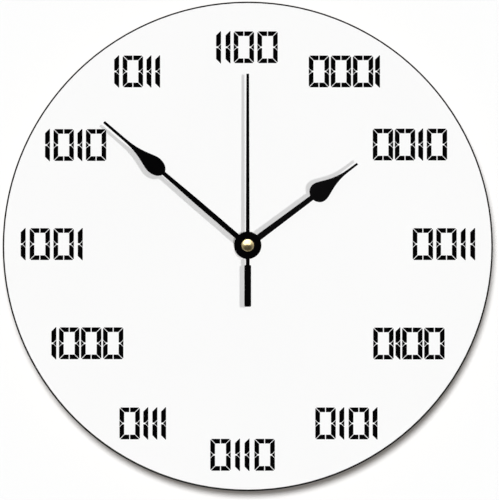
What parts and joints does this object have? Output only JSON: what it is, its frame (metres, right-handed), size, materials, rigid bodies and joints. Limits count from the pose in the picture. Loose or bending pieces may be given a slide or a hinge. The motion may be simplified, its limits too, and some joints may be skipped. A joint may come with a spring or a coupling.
{
  "type": "wall clock",
  "caption": "Round wooden wall clock with a white dial, binary numerals and black spade hands, on a battery quartz movement that hangs from a steel eye.",
  "frame": {"origin": "on the axis of the hands, in the plane of the wall, at the back face of the movement's case", "axes": "-Y is the way the dial faces, +Y points into the wall, +X is the dial's right and +Z its top"},
  "size_m": [0.3, 0.036, 0.3],
  "materials": {
    "painted_board": "wood fibre board, painted black on its front and edge, bare on its back",
    "white_face": "white laminate, satin",
    "black_hand": "painted black, satin",
    "brass": "polished",
    "rubber": "matt",
    "zinc_steel": "zinc plated",
    "black_case": "fine moulded texture",
    "pale_plastic": "moulded",
    "amber_plastic": "moulded",
    "soft_iron": "stamped",
    "magnet": "sintered",
    "copper_wire": "enamelled",
    "circuit_laminate": "green laminate",
    "epoxy": "cast drop",
    "nickel_plate": "nickel plated",
    "battery_jacket": "printed film, bare of print"
  },
  "bodies": {
    "clock_body": {"board": "painted_board", "dial_face": "white_face", "threaded_bush": "brass", "washer": "brass", "hex_nut": "brass", "gasket": "rubber", "hanger": "zinc_steel", "case_back": "black_case", "case_front": "black_case", "train_plate": "pale_plastic", "stator": "soft_iron", "coil_core": "soft_iron", "coil_bobbin": "pale_plastic", "coil_winding": "copper_wire", "circuit_board": "circuit_laminate", "chip": "epoxy", "crystal_can": "nickel_plate", "plus_contact": "nickel_plate", "minus_contact": "nickel_plate", "battery": "battery_jacket"},
    "seconds": {"second_hand": "black_hand", "second_hand_tube": "brass", "shaft_cap": "brass", "seconds_wheel": "amber_plastic"},
    "minutes": {"minute_hand": "black_hand", "minute_pipe": "brass"},
    "hours": {"hour_hand": "black_hand", "hour_wheel": "amber_plastic"},
    "centre": {"centre_wheel": "amber_plastic"},
    "third": {"third_wheel": "pale_plastic"},
    "idler": {"idler_wheel": "pale_plastic"},
    "rotor": {"rotor_magnet": "magnet", "rotor_pinion": "amber_plastic"},
    "motion": {"minute_wheel": "pale_plastic"},
    "setting": {"set_knob": "pale_plastic", "set_pinion": "amber_plastic"}
  },
  "joints": [
    {"name": "second_hand_turn", "type": "hinge", "parent": "clock_body", "child": "seconds", "pos_m": [0, 0, 0], "axis": [0, 1, 0], "continuous": true},
    {"name": "minute_hand_turn", "type": "hinge", "parent": "clock_body", "child": "minutes", "pos_m": [0, 0, 0], "axis": [0, 1, 0], "continuous": true},
    {"name": "idler_turn", "type": "hinge", "parent": "clock_body", "child": "idler", "pos_m": [-0.00971, 0, 0.00453], "axis": [0, 1, 0], "continuous": true},
    {"name": "rotor_turn", "type": "hinge", "parent": "clock_body", "child": "rotor", "pos_m": [-0.01349, 0, 0.01107], "axis": [0, 1, 0], "continuous": true},
    {"name": "third_wheel_turn", "type": "hinge", "parent": "clock_body", "child": "third", "pos_m": [0.0051, 0, 0.00883], "axis": [0, 1, 0], "continuous": true},
    {"name": "centre_wheel_turn", "type": "hinge", "parent": "clock_body", "child": "centre", "pos_m": [0, 0, 0], "axis": [0, 1, 0], "continuous": true},
    {"name": "minute_wheel_turn", "type": "hinge", "parent": "clock_body", "child": "motion", "pos_m": [0.00919, 0, 0.00771], "axis": [0, 1, 0], "continuous": true},
    {"name": "hour_hand_turn", "type": "hinge", "parent": "clock_body", "child": "hours", "pos_m": [0, 0, 0], "axis": [0, 1, 0], "continuous": true},
    {"name": "set_knob_turn", "type": "hinge", "parent": "clock_body", "child": "setting", "pos_m": [0.02047, 0, 0.01182], "axis": [0, 1, 0], "continuous": true}
  ],
  "couplings": [
    {"joint": "idler_turn", "follows": "second_hand_turn", "ratio": -6},
    {"joint": "rotor_turn", "follows": "second_hand_turn", "ratio": 30},
    {"joint": "third_wheel_turn", "follows": "second_hand_turn", "ratio": -0.13333},
    {"joint": "centre_wheel_turn", "follows": "second_hand_turn", "ratio": 0.016667},
    {"joint": "minute_wheel_turn", "follows": "minute_hand_turn", "ratio": -0.33333},
    {"joint": "hour_hand_turn", "follows": "minute_hand_turn", "ratio": 0.083333},
    {"joint": "set_knob_turn", "follows": "minute_hand_turn", "ratio": 1}
  ]
}
